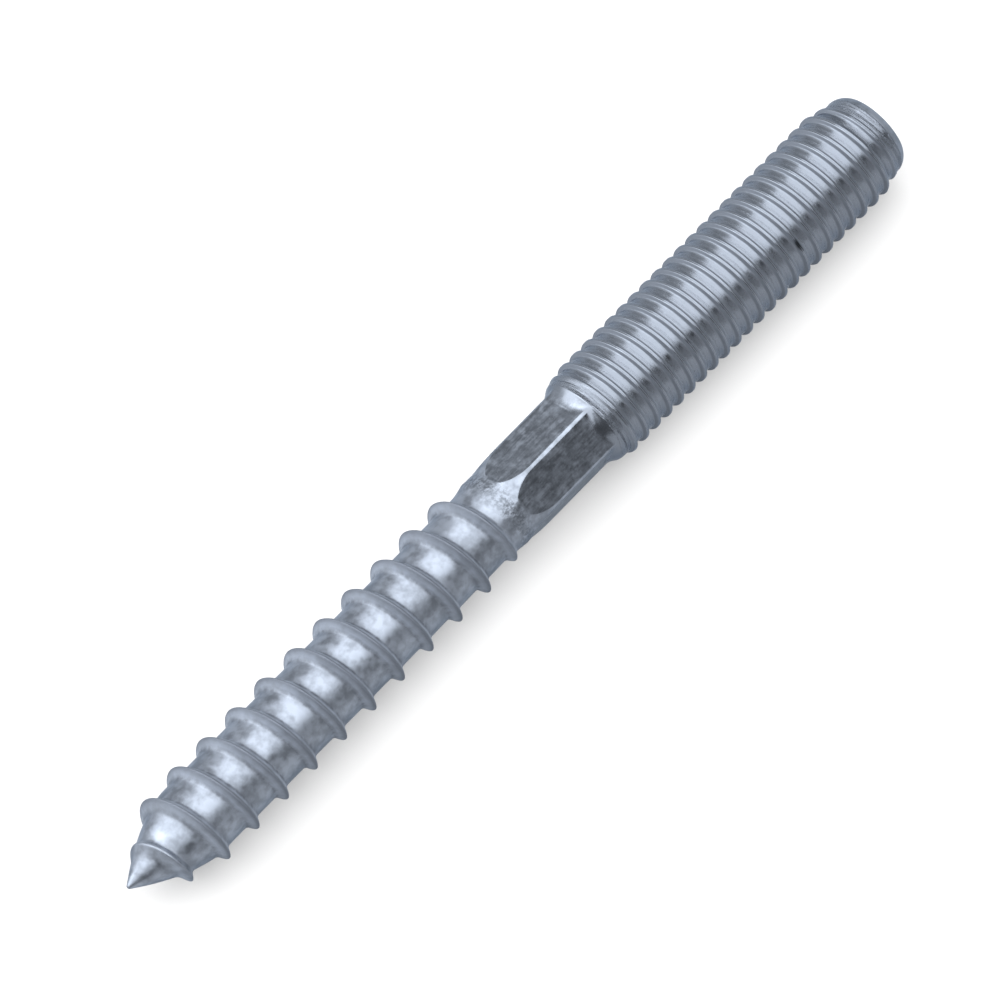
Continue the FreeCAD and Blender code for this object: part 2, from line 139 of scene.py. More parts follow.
# %% Rows that follow a thread
def thread_rows(start, end, pitch, crest_at_first_angle, bends):
    """Rows at crest + n pitch + bend, climbing one pitch in a turn and held between start and
    end."""
    spread = np.concatenate([-bends[::-1], bends[1:-1]])
    count = int((end - start) / pitch) + 4
    first = crest_at_first_angle + pitch * np.floor((start - pitch - crest_at_first_angle) / pitch)
    starts = (first + pitch * np.arange(count)[:, None] + spread).ravel()
    offsets = np.tile(spread, count)
    low = np.flatnonzero(starts <= start - pitch)[-1]
    high = np.flatnonzero(starts >= end)[0]
    starts, offsets = starts[low : high + 1], offsets[low : high + 1]
    free = starts[:, None] + pitch * turn
    rows = np.arange(len(starts))[:, None] + np.zeros(COLUMNS, dtype=int)
    home = np.where(free <= start, 0, np.where(free >= end, len(starts) - 1, rows))
    offset = offsets[:, None] + np.zeros(COLUMNS)
    return np.clip(free, start, end), offset, home, len(spread)


# %% [markdown]
# The wood screw end. Its core swells quickly behind the point and then narrows slightly, and at the
# rear it widens into the neck. It is a turned shape, so one radius for each place is enough.

# %% Core of the wood screw
core_front = 5.92
core_rear = 5.68
point_length = 6.75
point_fullness = 1.6
point_blunt = 0.24
neck_blend = 1.5


def core_radius(along):
    """Behind the point 1 - (1 - s)^fullness of the full radius, then a straight taper, then an
    eased swelling to the neck."""
    missing = (1.0 - np.clip(along, 0.0, point_length) / point_length) ** point_fullness
    swelling_point = point_blunt + (core_front - point_blunt) * (1.0 - missing)
    taper = np.clip((along - point_length) / (neck_start - point_length), 0.0, 1.0)
    core = core_front + (core_rear - core_front) * taper
    plain = np.where(along < point_length, swelling_point, core)
    swelling = eased((along - neck_start + neck_blend) / neck_blend)
    return (plain + (neck_diameter - plain) * swelling) / 2.0


print("core: radius", core_radius(np.array([0.0, point_length, neck_start])).round(3), "mm")

# %% [markdown]
# Between the thread and the flats a short stretch of skin is buckled. It is part of the neck, and
# the shank shares it, so its hills and hollows are a formula that both stretches of the grid add to
# their radius. A sculpted patch would have to be joined at its edge.

# %% Buckled skin on the neck
buckle_place = 38.6
buckle_reach = 0.8
buckle_height = 0.025


def buckled(along):
    """How much of the buckled stretch lies here: a bell, e^(-x^2)."""
    return np.exp(-(((along - buckle_place) / buckle_reach) ** 2))


def buckles(along, angle):
    """Its small hills and hollows: a coarse and a fine field, each up to the buckle's height."""
    coarse = unevenness(along, angle, seed=21, fineness=4.0)
    fine = unevenness(along, angle, seed=24, fineness=7.5)
    return buckle_height * buckled(along) * (coarse + fine)


sample = buckles(np.linspace(neck_start, flats_start, 20)[:, None], even_angles)
print("buckles: from", sample.min().round(3), "to", sample.max().round(3), "mm")

# %% [markdown]
# The thread of the wood screw is a thin fin, wider at its foot, that rises out of the point and
# sinks into the neck. Its crest is a little worn and its flanks are faintly dented. A screw
# modifier could sweep a fin round the core, but the two surfaces would pass through each other.
# Here one section, read across the thread, lifts the core's own surface, so fin and core stay one
# skin. The mesh also keeps marks for the material: where the fin's foot, its flanks and its crest
# lie.

# %% Thread of the wood screw
wood_pitch = 3.05
wood_diameter = 7.25
wood_turn = 325.6
fin_width = 1.08
thread_start = 1.15
thread_rise = 6.0
rise_slowness = 1.5
thread_fade = 4.3
fin_bends = np.array([0.0, 0.04, 0.08, 0.13, 0.20, 0.32, 0.43, 0.54, 0.68, 1.05, wood_pitch / 2])
fin_heights = np.array([1.0, 0.985, 0.94, 0.86, 0.72, 0.44, 0.22, 0.08, 0.012, 0.0, 0.0])
crest_wear = 0.03
dent_depth = 0.012
foot_distance, foot_reach = 0.56, 0.16
fin_flank_mark = 0.24


def fin_share(along):
    """The part of the fin's height that stands: a quarter sine, raised to a power, from the point
    and 1 - s^3 at the rear."""
    rise = np.clip((along - thread_start) / thread_rise, 0.0, 1.0)
    risen = np.sin(np.pi / 2 * rise) ** rise_slowness
    sunk = np.clip((along - neck_start + thread_fade) / thread_fade, 0.0, 1.0)
    return risen * (1.0 - sunk**3)


def wood_band():
    """Core + fin height x section, with a worn crest, faint dents and the buckled skin on top. The
    foot's mark is a bell, and the flanks' is 4 s (1 - s) of the section, most where it is half
    high."""
    crest = thread_start + fin_width / 2 + wood_pitch * (first_angle - wood_turn) / 360.0
    along, offset, home, shift = thread_rows(thread_start, neck_start, wood_pitch, crest, fin_bends)
    section = np.interp(np.abs(offset), fin_bends, fin_heights)
    core = core_radius(along)
    stands = fin_share(along)
    height = (wood_diameter / 2 - core) * stands
    worn = unevenness(along, even_angles, seed=3, fineness=1.1)
    dented = unevenness(along, even_angles, seed=4, fineness=2.2)
    edge_wear = crest_wear * worn * section**2 * stands
    dents = dent_depth * dented * stands
    across = core + height * section + edge_wear + dents + buckles(along, even_angles)
    foot = np.exp(-(((np.abs(offset) - foot_distance) / foot_reach) ** 2)) * stands
    flank = fin_flank_mark * np.clip(4.0 * section * (1.0 - section), 0.0, 1.0) * stands
    return band(along, across, even_angles, home, shift, foot=foot, flank=flank,
                crest=section**4 * stands, buckled=buckled(along), across_thread=offset)


wood = wood_band()
print("wood thread:", wood["along"].shape, "rows and columns")

# %% [markdown]
# The point is nearly sharp and carries no thread yet. It closes in one vertex on the axis, as a
# pole, because a row of points that all share one place would leave faces without any area.

# %% Point
point_along = np.array([0.0, 0.0, 0.03, 0.12, 0.3, 0.55, 0.85, 1.1, thread_start])[:, None]
point_share = np.array([0.0, 0.6, 1.0, 1.0, 1.0, 1.0, 1.0, 1.0, 1.0])[:, None]
point = band(point_along, core_radius(point_along) * point_share, even_angles)
print("point:", len(point_along), "rings")

# %% [markdown]
# The shank is round where it leaves the wood thread and swells towards the collar. Six flats are
# pressed into it. They begin as blunt tongues and end on a short hollow ramp. Booleans could cut
# them, but they leave faces that don't follow the grid. The flats are shallow enough to be one
# radius for each angle, so they are worked out instead. First come the radii of the round blank and
# of the ramp.

# %% Blank and ramp of the shank
def soft_min(first, second, blend):
    """The smaller of two, with the corner between them rounded over the distance blend."""
    gap = np.clip(0.5 + 0.5 * (second - first) / blend, 0.0, 1.0)
    return second * (1 - gap) + first * gap - blend * gap * (1 - gap)


def arc_height(along, start, end, radius):
    """The height of an arc through two points, each a distance along and a height. The centre lies
    on the perpendicular through their middle, below for a swelling arc and above for a hollow one,
    which has a negative radius."""
    start, end = np.array(start), np.array(end)
    chord = end - start
    below = np.array([chord[1], -chord[0]]) / np.hypot(*chord) * np.sign(radius)
    centre = (start + end) / 2 + below * np.sqrt(radius**2 - (chord @ chord) / 4)
    held = np.clip(along, start[0], end[0])
    return centre[1] + np.sign(radius) * np.sqrt(radius**2 - (held - centre[0]) ** 2)


def blank_radius(along):
    """The round blank under the flats: the neck, one swelling arc for the flare, and then the
    width over the ridges."""
    neck, ridge = (flats_start, neck_diameter / 2), (flare_end, ridge_diameter / 2)
    return arc_height(along, neck, ridge, flare_bow)


def ramp_radius(along):
    """The hollow arc of the ramp that ends the flats, and 0 before it begins."""
    foot, top = (ramp_start, collar_foot_diameter / 2), (collar_start, collar_diameter / 2)
    return np.where(along < ramp_start, 0.0, arc_height(along, foot, top, -collar_hollow))


print("blank: radius", blank_radius(np.array([flats_start, flare_end])).round(3), "mm")

# %% [markdown]
# Where two flats meet there is a sharp ridge. Even columns would cut across it in small steps, so
# they close up along the edges of the flats and each ridge is a clean line. At both ends of the
# shank they rejoin the even spacing.

# %% Columns that gather at the ridges
FLATS = 6
narrowest_half_flat, widest_half_flat = 8.0, 28.6
ridge_edge = 0.7
gather_length, spread_length = 0.7, 0.3


def flat_columns(along):
    """Angles from the middle of a flat for the 20 columns of its sixth of a turn. Twelve spaces lie
    on the flat, one on each side of its edge, and two on the round ridge. The edge lies where
    radius x cos d is half the width across flats."""
    half = np.degrees(np.arccos(np.clip(across_flats / 2 / blank_radius(along), 0.0, 1.0)))
    half = np.clip(half, narrowest_half_flat, widest_half_flat)
    knots = np.array([0, 2, 3, 4, 16, 17, 18, 20])
    border = np.full_like(half, 180.0 / FLATS)
    angles = np.stack([-border, -half - ridge_edge, -half, -half + ridge_edge,
                       half - ridge_edge, half, half + ridge_edge, border])
    columns = np.arange(COLUMNS // FLATS)
    return np.array([np.interp(columns, knots, row) for row in angles.T])


def shank_angles(along):
    """The angle of each grid point, eased from even to gathered columns and back, and its angle
    from the middle of the nearest flat."""
    sixth = flat_columns(along[:, 0])
    gathered = np.concatenate([sixth + flats_turn + 60.0 * k for k in range(FLATS)], axis=1)
    follows = eased((along - neck_start) / gather_length)
    follows = follows * eased((collar_start - along) / spread_length)
    angle = even_angles + (gathered - even_angles) * follows
    return angle, (angle - flats_turn + 30.0) % 60.0 - 30.0


print("a flat's columns:", flat_columns(np.array([flare_end]))[0].round(1), "degrees")

# %% [markdown]
# The shank's surface is the smaller of the blank and the flats, and the larger of that and the
# ramp. Each flat begins at a slightly different place and isn't quite even, as pressing leaves it.
# The mark called rolled tells the material what the dies did: up to machined_mark the skin turns
# smooth and dark, and from there to 1 it takes deeper lines.

# %% Shank with six flats
shank_stretches = [(neck_start, 39.15, 5), (39.2, 39.75, 12), (39.85, 41.65, 18),
                   (41.85, 46.75, 26), (46.85, collar_start, 21)]
edge_blend = 0.012
entry_unevenness, entry_lead, entry_length = 0.10, 0.12, 0.3
uneven_step = 77.0
ramp_blend = 0.22
finish_end, finish_unevenness, finish_length = 48.0, 0.25, 1.3
hammer_depth, hammer_fade = 0.006, 0.4
machined_mark, machined_blend = 0.15, 0.6


def shank_band():
    """min(blank, flat), then max with the ramp, both with rounded corners. At an angle d from its
    middle a flat's radius is half the width across flats divided by cos d."""
    along = np.concatenate([np.linspace(*stretch) for stretch in shank_stretches])[:, None]
    angle, from_middle = shank_angles(along)
    flat_number = np.round((angle - from_middle) / 60.0)
    own_place = unevenness(0.0, flat_number * uneven_step, seed=8, fineness=1.0)
    starts_at = flats_start + entry_unevenness * own_place
    entry = eased((along - starts_at + entry_lead) / entry_length)
    flat = across_flats / 2 / np.cos(np.radians(from_middle))
    blank = blank_radius(along)
    radius = blank + (soft_min(blank, flat, edge_blend) - blank) * entry
    radius = -soft_min(-radius, -ramp_radius(along), ramp_blend)
    uneven_end = finish_end + finish_unevenness * unevenness(0.0, angle, seed=23, fineness=2.0)
    before_ramp = eased((uneven_end - along) / finish_length)
    on_flat = np.clip((blank - flat) / edge_blend, 0.0, 1.0) * entry * before_ramp
    hammered = hammer_depth * unevenness(along, angle, seed=22, fineness=3.0) * on_flat
    settle = eased((collar_start - along) / hammer_fade)
    machined = machined_mark * eased((along - ramp_start) / machined_blend)
    return band(along, radius + buckles(along, angle) + hammered * settle, angle,
                pressed=on_flat, buckled=buckled(along), rolled=machined)


shank = shank_band()
print("shank:", shank["along"].shape, "rows and columns")

# %% [markdown]
# The machine thread is an M8 thread with a pitch of 1.25 mm, rolled into the rod. Rolling pushes
# the steel up from both sides, so each crest is two fine edges with a shallow seam between them.
# The thread runs in from the collar over one turn and dies away in the smooth lead. One crest has a
# nick. A bump map would be cheaper, but the bolt's outline would stay straight, so the grooves are
# real: each row has its own place across the thread and its own depth.

# %% Machine thread
machine_pitch = 1.25
machine_crest = 63.69
machine_crest_angle = 18.23
thread_depth = 0.31
machine_bends = np.array([0.0, 0.03, 0.08, 0.115, 0.145, 0.22, 0.26, 0.32, 0.44,
                          machine_pitch / 2])
machine_drops = np.array([0.05, 0.012, 0.0, 0.05, 0.17, 0.80, 0.91, 0.965, 0.99, 1.0])
run_in_delay, run_in_length = 0.1, 1.5
run_out_places = [76.9, 77.6, 78.1, 78.5, nose_start]
run_out_shares = [1.0, 0.75, 0.35, 0.12, 0.0]
burr_depth = 0.010
nick_place, nick_half_length = 67.85, 0.17
nick_angle, nick_half_width = 138.5, 7.5
nick_depth = 0.15
thread_flank_mark = 0.22


def rod_radius(along):
    """The rod that the crests reach, straight from one place to the next: collar, run-in, full
    diameter, chamfer and lead."""
    places = [collar_start, run_in_end, lead_start, lead_shoulder, nose_start]
    diameters = [collar_diameter, machine_diameter, machine_diameter, lead_diameter, nose_diameter]
    return np.interp(along, places, diameters) / 2


def machine_band():
    """Rod - depth x drop, where drop goes from 0 at the crest's edges to 1 at the root, and depth
    is eased in at the collar and out in the lead. The nick is a steep bell, e^(-x^4 - y^4). The
    mark of the flanks is 5 d (1 - d) of the drop, most where it is half deep."""
    crest = machine_crest + machine_pitch * (first_angle - machine_crest_angle) / 360.0
    along, offset, home, shift = thread_rows(
        collar_start, nose_start, machine_pitch, crest, machine_bends)
    drop = np.interp(np.abs(offset), machine_bends, machine_drops)
    run_in = eased((along - collar_start - run_in_delay) / run_in_length)
    run_out = np.interp(along, run_out_places, run_out_shares)
    depth = thread_depth * run_in * run_out
    unfinished = 1.0 - run_in * run_out
    ragged = unevenness(along, even_angles, seed=31, fineness=1.3)
    burr = burr_depth * ragged * (1.0 - drop) * run_in * run_out
    nick = np.exp(-(((along - nick_place) / nick_half_length) ** 4)
                  - (((even_angles - nick_angle) / nick_half_width) ** 4))
    radius = rod_radius(along) - depth * drop + np.minimum(burr, 0.0) - nick_depth * nick
    flank = thread_flank_mark * np.clip(5.0 * drop * (1.0 - drop), 0.0, 1.0) * run_in * run_out
    rolled = machined_mark + (1.0 - machined_mark) * unfinished
    return band(along, radius, even_angles, home, shift, flank=flank, nick=nick,
                rolled=rolled, across_thread=offset)


machine = machine_band()
print("machine thread:", machine["along"].shape, "rows and columns")

# %% [markdown]
# The socket in the end has six lobes and takes the driver. Its outline is made of arcs: six small
# lobes and, between them, six ribs that bulge into the socket and meet the lobes smoothly. A
# boolean with a lobed prism could cut it. Instead the columns of the grid run on into it: a ray
# from the axis meets each arc at a distance that a circle's equation gives.

# %% Outline of the six-lobe socket
lobe_tips = 4.5
lobe_roots = 3.27
lobe_radius = 0.39


def socket_radius(angle):
    """Distance from the axis to the outline. With d the angle from the nearest lobe: on the lobe
    c cos d + sqrt(r^2 - c^2 sin^2 d), on the rib the near side of its own circle. The rib's radius
    is the one that makes the distance of the two centres the sum of their radii."""
    away = np.radians(np.abs((angle + 30.0) % 60.0 - 30.0))
    lobe_centre = lobe_tips / 2 - lobe_radius
    rib_reach = lobe_roots / 2
    sixth = np.pi / 6
    beside = lobe_centre * np.cos(sixth)
    rib_radius = (lobe_radius**2 - lobe_centre**2 - rib_reach**2 + 2 * rib_reach * beside)
    rib_radius = rib_radius / (rib_reach - beside - lobe_radius) / 2
    rib_centre = rib_reach + rib_radius
    toward = np.array([rib_centre * np.cos(sixth) - lobe_centre, rib_centre * np.sin(sixth)])
    toward = toward / np.hypot(*toward) * lobe_radius
    meets = np.arctan2(toward[1], lobe_centre + toward[0])
    on_lobe = lobe_centre * np.cos(away) + np.sqrt(
        np.maximum(lobe_radius**2 - (lobe_centre * np.sin(away)) ** 2, 0.0))
    on_rib = rib_centre * np.cos(sixth - away) - np.sqrt(
        np.maximum(rib_radius**2 - (rib_centre * np.sin(sixth - away)) ** 2, 0.0))
    return np.where(away < meets, on_lobe, on_rib)


print("socket: radius", socket_radius(np.array([0.0, 30.0])).round(3), "mm at a lobe and at a rib")

# %% [markdown]
# The end has a rounded nose and a flat face. The socket's mouth has a small chamfer, its walls are
# straight, and its floor is the cone that a drill leaves, closed in one vertex on the axis. All of
# it is one profile, carried from the rim to the bottom.

# %% Nose, end face and socket
socket_turn = -1.2
socket_depth = 2.8
mouth_chamfer = 0.06
floor_corner = 0.03
drill_diameter = 3.0
drill_half_angle = 60.0
nose_rings = 9


def rounded_nose():
    """An arc from the lead's shoulder to the rim of the end face."""
    along = np.linspace(nose_start, bolt_length, nose_rings)[:, None]
    shoulder, rim = (nose_start, nose_diameter / 2), (bolt_length, end_diameter / 2)
    return band(along, arc_height(along, shoulder, rim, nose_round), even_angles)


def face_and_socket():
    """Rings between the round rim and the lobed outline, then walls that go straight in, then rings
    between the outline and the drill's round cone."""
    angles = even_angles + socket_turn
    outline = socket_radius(angles)

    share = np.array([0.0, 0.5, 0.85, 1.0])[:, None]
    rim = end_diameter / 2
    face_across = rim + (outline + mouth_chamfer - rim) * share
    face = band(bolt_length, face_across, even_angles + (angles - even_angles) * share)

    depths = np.array([0.0, mouth_chamfer, 0.1, 0.8, 1.6, 2.3,
                       socket_depth - 0.08, socket_depth - 0.02])[:, None]
    swell = np.array([mouth_chamfer, 0.0, 0.0, 0.0, 0.0, 0.0, 0.0, -floor_corner])[:, None]
    walls = band(bolt_length - depths, outline + swell, angles)

    drill_depth = drill_diameter / 2 / np.tan(np.radians(drill_half_angle))
    floor_depth = socket_depth + drill_depth * np.array([-0.02, 0.0, 0.0, 0.5, 1.0])[:, None]
    floor_share = np.array([1.0, 0.94, 0.0, 0.0, 0.0])[:, None]
    cone_across = drill_diameter / 2 * np.array([1.0, 1.0, 1.0, 0.5, 0.0])[:, None]
    floor_across = cone_across + (outline - floor_corner - cone_across) * floor_share
    return [face, walls, band(bolt_length - floor_depth, floor_across, angles)]


end_bands = [rounded_nose(), *face_and_socket()]
print("end:", sum(len(part["along"]) for part in end_bands), "rings from the nose to the floor")

# %% [markdown]
# The real bolt is one piece of steel, so the bands are joined in order into one closed skin. Two
# triangles fill each space of the grid, and triangles that have lost a side to welding are dropped.
# Only whole arrays are used, because a loop over so many points would be slow.

# %% Triangles between the rows
def stitched(bands):
    """The corner numbers of all triangles, three to a line. A point is joined to the one beside it
    and to those above both. Beside the last column is the first one, shift rows further on."""
    triangles = []
    first = 0
    ring = None
    for part in bands:
        ids = first + part["home"] * COLUMNS + np.arange(COLUMNS)
        if ring is not None:
            ids = np.where(part["home"] == 0, ring, ids)
        after = np.minimum(np.arange(len(ids)) + part["shift"], len(ids) - 1)
        beside = np.concatenate([ids[:, 1:], ids[after, :1]], axis=1)
        a, b, c, d = ids[:-1], beside[:-1], beside[1:], ids[1:]
        triangles.append(np.stack([a, b, c], axis=-1).reshape(-1, 3))
        triangles.append(np.stack([a, c, d], axis=-1).reshape(-1, 3))
        ring = ids[-1]
        first += ids.size
    return np.concatenate(triangles)


all_bands = [point, wood, shank, machine, *end_bands]
print("stitched:", len(stitched(all_bands)), "triangles, some of them without area")

# %% [markdown]
# The mesh needs a place for each grid point. The first and the last ring become one vertex each, so
# the skin is closed at the point and at the bottom of the socket. The marks are laid on the points
# as attributes, which a material can read and which turn and slide with the piece.

# %% One closed mesh
MARKS = ("foot", "flank", "crest", "pressed", "buckled", "rolled", "nick", "across_thread")


def spread_out(bands, name):
    """One value for each grid point of all bands, 0 where a band doesn't carry that mark."""
    return np.concatenate([
        np.broadcast_to(part.get(name, 0.0), part["along"].shape).ravel() for part in bands])


def bolt_mesh(bands):
    """(along, across cos angle, across sin angle), lifted to the axis, with a pole at each end."""
    corners = stitched(bands)
    along = spread_out(bands, "along")
    across = spread_out(bands, "across")
    around = np.radians(spread_out(bands, "angle"))
    places = np.stack([along + bolt_low[0], across * np.cos(around),
                       across * np.sin(around) + axis_height], axis=1)
    last_pole = len(along) - COLUMNS
    corners = np.where(corners < COLUMNS, 0, corners)
    corners = np.where(corners >= last_pole, last_pole, corners)
    lost = (corners[:, 0] == corners[:, 1]) | (corners[:, 1] == corners[:, 2]) | (
        corners[:, 0] == corners[:, 2])
    kept, corners = np.unique(corners[~lost], return_inverse=True)
    corners = corners.reshape(-1, 3)
    mesh = bpy.data.meshes.new("hanger_bolt_surface")
    mesh.from_pydata((places[kept] * MM).tolist(), [], corners.tolist())
    mesh.polygons.foreach_set("use_smooth", np.ones(len(corners), dtype=bool))
    for name in MARKS:
        mark = mesh.attributes.new(name, "FLOAT", "POINT")
        mark.data.foreach_set("value", spread_out(bands, name)[kept].astype(np.float32))
    mesh.update()
    return mesh


bolt = bpy.data.objects.new("hanger_bolt_surface", bolt_mesh(all_bands))
bpy.context.collection.objects.link(bolt)
print("bolt surface:", len(bolt.data.polygons), "triangles")

# %% [markdown]
# Materials and light are made of nodes. A few helpers add a node and wire it, so that each material
# below reads like its formula. A term is a number or another node's output.

# %% Helpers that wire nodes
class Wiring:
    """Adds nodes to one node tree and joins them."""

    def __init__(self, tree):
        self.tree = tree

    def node(self, kind, **settings):
        """A new node with these properties."""
        made = self.tree.nodes.new(kind)
        for name, setting in settings.items():
            setattr(made, name, setting)
        return made

    def feed(self, socket, term):
        """Writes a number into a socket, or joins an output to it."""
        if isinstance(term, (int, float)):
            socket.default_value = term
        else:
            self.tree.links.new(term, socket)

    def math(self, operation, first, second):
        """One arithmetic step, such as ADD, on two terms."""
        made = self.node("ShaderNodeMath", operation=operation)
        self.feed(made.inputs[0], first)
        self.feed(made.inputs[1], second)
        return made.outputs[0]

    def add(self, total, *terms):
        """total + term + term, from left to right."""
        for term in terms:
            total = self.math("ADD", total, term)
        return total

    def times(self, first, second):
        """first x second."""
        return self.math("MULTIPLY", first, second)

    def ranged(self, value, source, target, easing="LINEAR"):
        """Carries the range source over to the range target and holds its ends."""
        made = self.node("ShaderNodeMapRange", interpolation_type=easing)
        names = ("From Min", "From Max", "To Min", "To Max")
        for name, limit in zip(names, (*source, *target)):
            made.inputs[name].default_value = limit
        self.feed(made.inputs["Value"], value)
        return made.outputs["Result"]

    def noise(self, vector, scale, detail, roughness=0.55):
        """Cloudy noise between 0 and 1 with scale patches to a millimetre."""
        made = self.node("ShaderNodeTexNoise")
        for name, amount in (("Scale", scale), ("Detail", detail), ("Roughness", roughness)):
            made.inputs[name].default_value = amount
        self.feed(made.inputs["Vector"], vector)
        return made.outputs["Fac"]

    def marked(self, name):
        """One of the marks that the mesh carries."""
        return self.node("ShaderNodeAttribute", attribute_name=name).outputs["Fac"]

    def mixed(self, factor, first, second):
        """The first colour where the factor is 0, the second where it is 1."""
        made = self.node("ShaderNodeMix", data_type="RGBA")
        self.feed(made.inputs["Factor"], factor)
        sockets = [socket for socket in made.inputs if socket.type == "RGBA"]
        for socket, colour in zip(sockets, (first, second)):
            if isinstance(colour, tuple):
                socket.default_value = (*colour, 1.0)
            else:
                self.feed(socket, colour)
        return [socket for socket in made.outputs if socket.type == "RGBA"][0]


print("helpers:", [name for name in vars(Wiring) if not name.startswith("_")])

# %% [markdown]
# Zinc plating is a satin, slightly blue metal. It is cloudy in large patches, has a fine grain, and
# keeps the marks of the tools under it: fine lines along the threads where the dies rolled, and a
# mottled skin on the pressed flats. The roots carry painted shade in spots. An image could be
# wrapped round the bolt, but it would show a seam and its own pixels, so the patterns are noise.
# They are read from Object coordinates, turned into millimetres, and so stay on the bolt when it is
# moved.

# %% Patterns in the plating
zinc_plated = bpy.data.materials.new("zinc_plated_steel")
zinc_plated.use_nodes = True
steel = Wiring(zinc_plated.node_tree)

place = steel.node("ShaderNodeMapping")
place.inputs["Scale"].default_value = (1 / MM, 1 / MM, 1 / MM)
steel.feed(place.inputs["Vector"], steel.node("ShaderNodeTexCoord").outputs["Object"])
place = place.outputs["Vector"]
clouds = steel.noise(place, scale=0.55, detail=3.0)
grain = steel.noise(place, scale=1.6, detail=2.0, roughness=0.5)
specks = steel.noise(place, scale=1.9, detail=3.0, roughness=0.6)
flecks = steel.noise(place, scale=4.5, detail=2.0, roughness=0.6)

drawn_out = 0.12
streaks = steel.node("ShaderNodeMapping")
streaks.inputs["Scale"].default_value = (drawn_out, 1.0, 1.0)
steel.feed(streaks.inputs["Vector"], place)
drawn = steel.noise(streaks.outputs["Vector"], scale=3.2, detail=3.0, roughness=0.6)

lines_across, lines_along, lines_climb = 14.0, 0.35, 0.6
split = steel.node("ShaderNodeSeparateXYZ")
steel.feed(split.inputs["Vector"], place)
lines = steel.node("ShaderNodeCombineXYZ")
steel.feed(lines.inputs["X"], steel.times(steel.marked("across_thread"), lines_across))
steel.feed(lines.inputs["Y"], steel.times(split.outputs["Y"], lines_along))
steel.feed(lines.inputs["Z"], steel.add(
    steel.times(split.outputs["Z"], lines_along), steel.times(split.outputs["X"], lines_climb)))
rolling = steel.noise(lines.outputs["Vector"], scale=1.0, detail=3.0)

patches = steel.add(steel.times(clouds, 0.5), steel.times(grain, 0.5))
mottled = steel.add(steel.times(specks, 0.5), steel.times(drawn, 0.5))
print("patterns:", len(zinc_plated.node_tree.nodes), "nodes")

# %% [markdown]
# The colour is laid on in layers: clouded zinc, the darker skin where the dies ran, a painted sheen
# that lightens the flanks, the dull crests, painted shade in spots in the roots, spots on the
# flats, and a painted shadow, nearly black, in the nick. A metal shows its surroundings times its
# colour.
# The floor that it shows here is white, so these colours are darker than those of real zinc.

# %% Colour of the zinc
dark_zinc = (0.14, 0.158, 0.187)
zinc = (0.225, 0.253, 0.30)
rolled_zinc = (0.143, 0.161, 0.191)
# The flanks' light colour is a painted sheen: it stands in for the light that the flanks reflect.
flank_painted_sheen = (0.60, 0.66, 0.76)
# The dark root colour is painted shade where the fin meets the core.
root_painted_shade = (0.105, 0.118, 0.14)
crest_zinc = (0.14, 0.157, 0.187)
pressed_zinc = (0.085, 0.0955, 0.113)
buckled_zinc = (0.10, 0.113, 0.134)
# The nick's near-black colour is a painted shadow in the dent.
nick_painted_shadow = (0.02, 0.023, 0.027)
edge_tint = (0.6, 0.66, 0.75)

foot, flank, crest = steel.marked("foot"), steel.marked("flank"), steel.marked("crest")
pressed, buckled_skin = steel.marked("pressed"), steel.marked("buckled")
machined = steel.ranged(steel.marked("rolled"), (0.0, machined_mark), (0.0, 1.0))
# Where the painted sheen lies: on the flanks, less of it on the machined skin.
painted_flank_sheen = steel.times(flank, steel.ranged(machined, (0.0, 1.0), (1.0, 0.4)))
# Where the painted root shade lies: at the fin's foot, broken into spots by noise.
painted_root_shade = steel.times(foot, steel.ranged(specks, (0.42, 0.62), (0.25, 0.8)))
spotted_flat = steel.times(pressed, steel.ranged(mottled, (0.4, 0.58), (1.0, 0.3)))
spotted_buckle = steel.times(buckled_skin, steel.ranged(flecks, (0.42, 0.6), (0.0, 0.9)))

colour = steel.mixed(steel.ranged(patches, (0.4, 0.58), (0.0, 1.0)), dark_zinc, zinc)
# Of these layers, the light flanks are a painted sheen, the root spots are painted shade and the
# nick's near-black is a painted shadow.
for cover, layer in (
        (machined, rolled_zinc), (painted_flank_sheen, flank_painted_sheen), (crest, crest_zinc),
        (painted_root_shade, root_painted_shade), (spotted_flat, pressed_zinc),
        (spotted_buckle, buckled_zinc), (steel.marked("nick"), nick_painted_shadow)):
    colour = steel.mixed(cover, colour, layer)

shader = zinc_plated.node_tree.nodes["Principled BSDF"]
shader.inputs["Metallic"].default_value = 1.0
shader.inputs["Specular Tint"].default_value = (*edge_tint, 1.0)
steel.feed(shader.inputs["Base Color"], colour)
print("colour:", len(zinc_plated.node_tree.nodes), "nodes so far")

# %% [markdown]
# Crests and flanks are rough and spread the light, and the machined skin and the flats are
# smoother. The fine relief is a bump: it is far too small to change the outline, so it needs no
# faces of its own. Its amounts are parts of relief_height.

# %% Roughness and relief
grain_rough = (0.33, 0.43)
foot_rough, crest_rough, machined_rough, pressed_rough = 0.08, 0.33, -0.15, -0.06
wood_flank_rough, machine_flank_rough = 1.4, 2.8
rough_flank = steel.times(
    flank, steel.ranged(machined, (0.0, 1.0), (wood_flank_rough, machine_flank_rough)))
rough = steel.add(
    steel.ranged(grain, (0.3, 0.7), grain_rough), steel.times(foot, foot_rough),
    steel.times(crest, crest_rough), rough_flank, steel.times(machined, machined_rough),
    steel.times(pressed, pressed_rough))
steel.feed(shader.inputs["Roughness"], rough)

